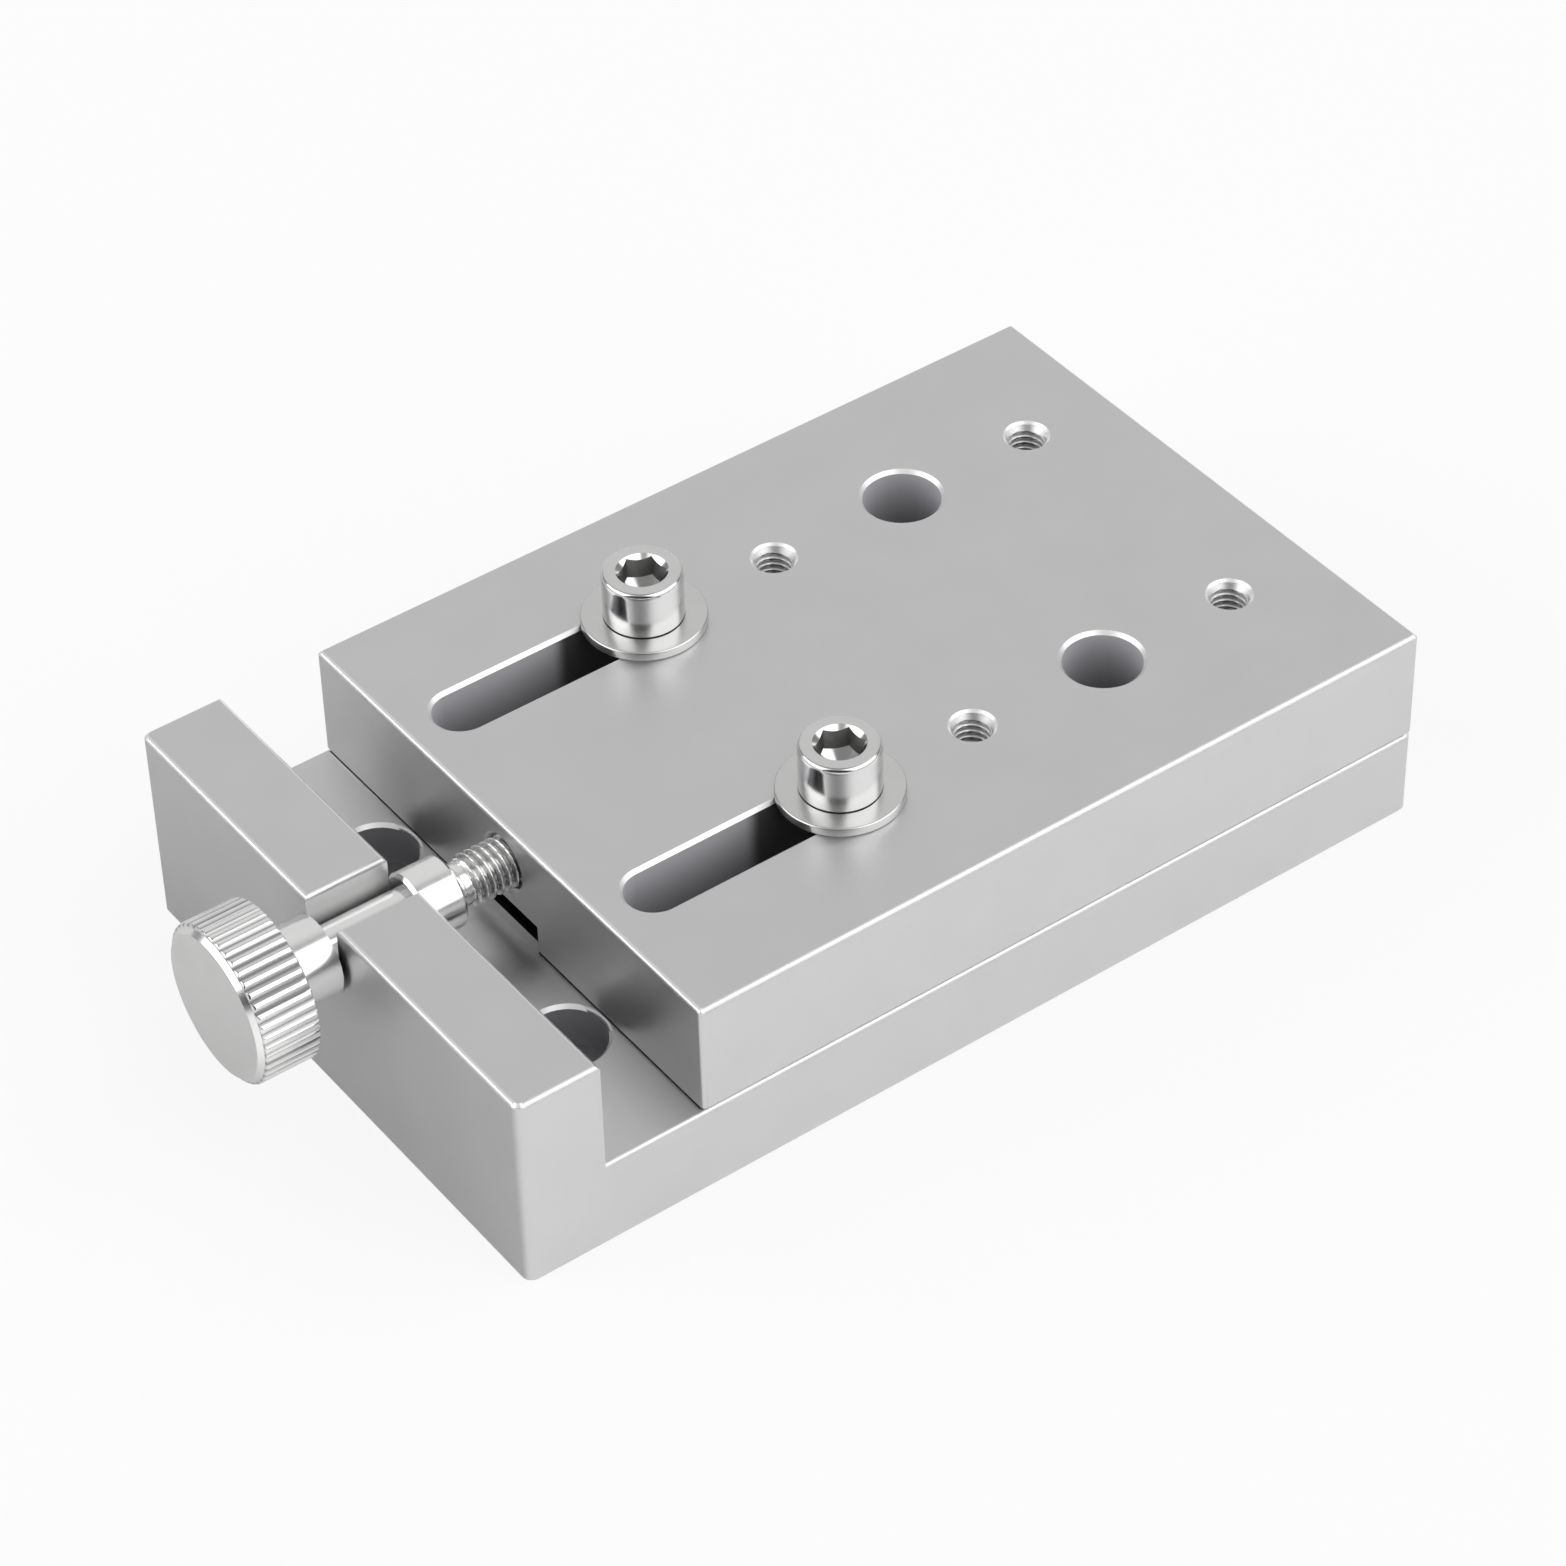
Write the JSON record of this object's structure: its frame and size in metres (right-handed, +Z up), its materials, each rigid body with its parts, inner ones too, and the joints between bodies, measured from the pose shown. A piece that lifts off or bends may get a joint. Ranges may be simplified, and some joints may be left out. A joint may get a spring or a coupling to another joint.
{
  "type": "manual linear stage",
  "caption": "Flat aluminium linear stage: a slotted slide table on a base plate, moved by a knurled feed screw and locked by clamp screws.",
  "frame": {"origin": "centre of the base plate's underside", "axes": "+X along the travel from the knob end to the far end, +Y from the near long side to the far long side, +Z up out of the table's top face"},
  "size_m": [0.1113, 0.06, 0.0275],
  "materials": {
    "base_aluminium": "clear anodised, satin",
    "table_aluminium": "clear anodised, satin",
    "feed_steel": "turned stainless steel",
    "screw_steel": "polished stainless steel",
    "washer_steel": "polished stainless steel"
  },
  "bodies": {
    "base": {"base_plate": "base_aluminium"},
    "table": {"slide_table": "table_aluminium"},
    "feed": {"feed_screw": "feed_steel"},
    "near_clamp": {"near_clamp_screw": "screw_steel", "near_clamp_washer": "washer_steel"},
    "far_clamp": {"far_clamp_screw": "screw_steel", "far_clamp_washer": "washer_steel"}
  },
  "joints": [
    {"name": "feed_turn", "type": "hinge", "parent": "base", "child": "feed", "pos_m": [-0.046, 0, 0.017], "axis": [-1, 0, 0], "range_deg": [0, 9000]},
    {"name": "table_travel", "type": "slide", "parent": "base", "child": "table", "axis": [1, 0, 0], "range_m": [0, 0.02]},
    {"name": "near_clamp_turn", "type": "hinge", "parent": "base", "child": "near_clamp", "pos_m": [-0.005, -0.015, 0.0215], "axis": [0, 0, 1], "range_deg": [0, 180]},
    {"name": "far_clamp_turn", "type": "hinge", "parent": "base", "child": "far_clamp", "pos_m": [-0.005, 0.015, 0.0215], "axis": [0, 0, 1], "range_deg": [0, 180]}
  ],
  "couplings": [
    {"joint": "feed_turn", "follows": "table_travel", "rad_per_m": 7854}
  ]
}
